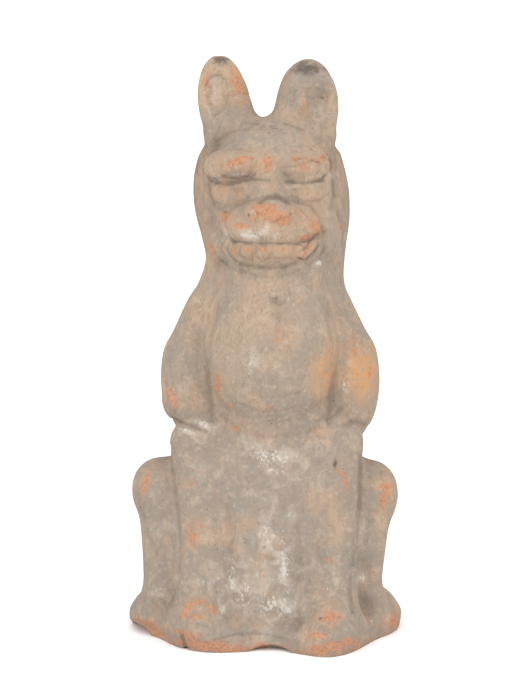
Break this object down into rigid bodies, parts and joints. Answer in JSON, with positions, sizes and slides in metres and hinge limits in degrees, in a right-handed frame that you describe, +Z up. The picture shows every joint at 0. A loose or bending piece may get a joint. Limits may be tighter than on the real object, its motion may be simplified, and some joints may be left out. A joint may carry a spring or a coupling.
{
  "type": "tomb guardian beast",
  "caption": "Seated, upright-eared guardian beast of moulded earthenware on its own low base, hollow and open underneath, with worn pale slip.",
  "frame": {"origin": "on the table, under the middle of the base", "axes": "+Z up from the base to the ears, the face looks along -Y, +X is the viewer's right"},
  "size_m": [0.1442, 0.1407, 0.3005],
  "materials": {
    "earthenware": "matt low-fired clay with worn pale slip"
  },
  "bodies": {
    "root": {"guardian_beast": "earthenware"}
  },
  "joints": []
}
